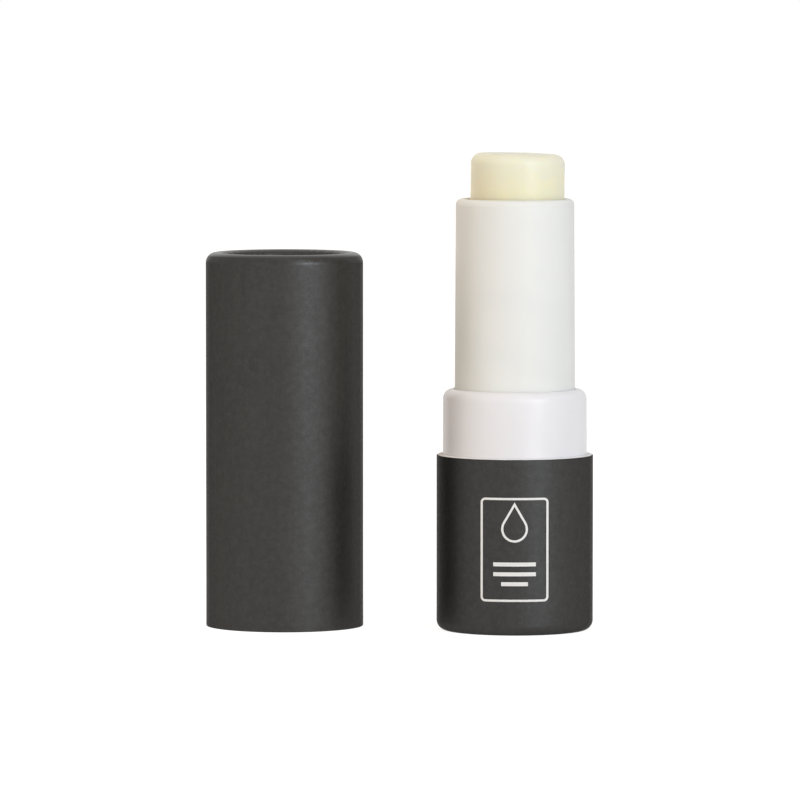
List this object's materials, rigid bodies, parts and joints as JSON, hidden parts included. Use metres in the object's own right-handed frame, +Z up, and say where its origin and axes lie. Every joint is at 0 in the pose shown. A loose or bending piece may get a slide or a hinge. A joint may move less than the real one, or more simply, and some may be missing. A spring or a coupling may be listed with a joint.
{
  "type": "lip balm",
  "caption": "Twist-up lip balm in a round paper tube: a screw sleeve raises the balm stick, and the pull-off cap stands beside it.",
  "frame": {"origin": "on the table, in the middle of the footprint of the tube and the cap that stands beside it", "axes": "+Z up along the tube's axis, +X to the right from the cap to the tube, +Y to the back"},
  "size_m": [0.0496, 0.0255, 0.0608],
  "materials": {
    "white_board": "uncoated white board, cut edge",
    "base_paper": "matt black printed paper",
    "cap_paper": "satin charcoal paper with fine speckle",
    "ink": "white ink",
    "collar_plastic": "smooth moulded plastic, soft gloss",
    "sleeve_plastic": "smooth moulded plastic, soft gloss",
    "inner_plastic": "plain moulded plastic",
    "balm": "pale yellow translucent wax"
  },
  "bodies": {
    "base": {"base_tube": "white_board", "base_wrap": "base_paper", "base_disc": "base_paper", "front_print": "ink", "collar": "collar_plastic", "guide_tube": "inner_plastic"},
    "sleeve": {"spiral_sleeve": "sleeve_plastic"},
    "stick": {"cup": "inner_plastic", "balm": "balm"},
    "cap": {"cap_tube": "white_board", "cap_wrap": "cap_paper", "cap_disc": "cap_paper"}
  },
  "joints": [
    {"name": "sleeve_turn", "type": "hinge", "parent": "base", "child": "sleeve", "pos_m": [0.0148, -0.00275, 0], "axis": [0, 0, 1], "range_deg": [-150, 540]},
    {"name": "stick_rise", "type": "slide", "parent": "base", "child": "stick", "axis": [0, 0, 1], "range_m": [-0.00626, 0.02251]},
    {"name": "cap_lift", "type": "slide", "parent": "base", "child": "cap", "axis": [0, 0, 1], "range_m": [0, 0.065]}
  ],
  "couplings": [
    {"joint": "stick_rise", "follows": "sleeve_turn", "m_per_rad": 0.0023873}
  ]
}
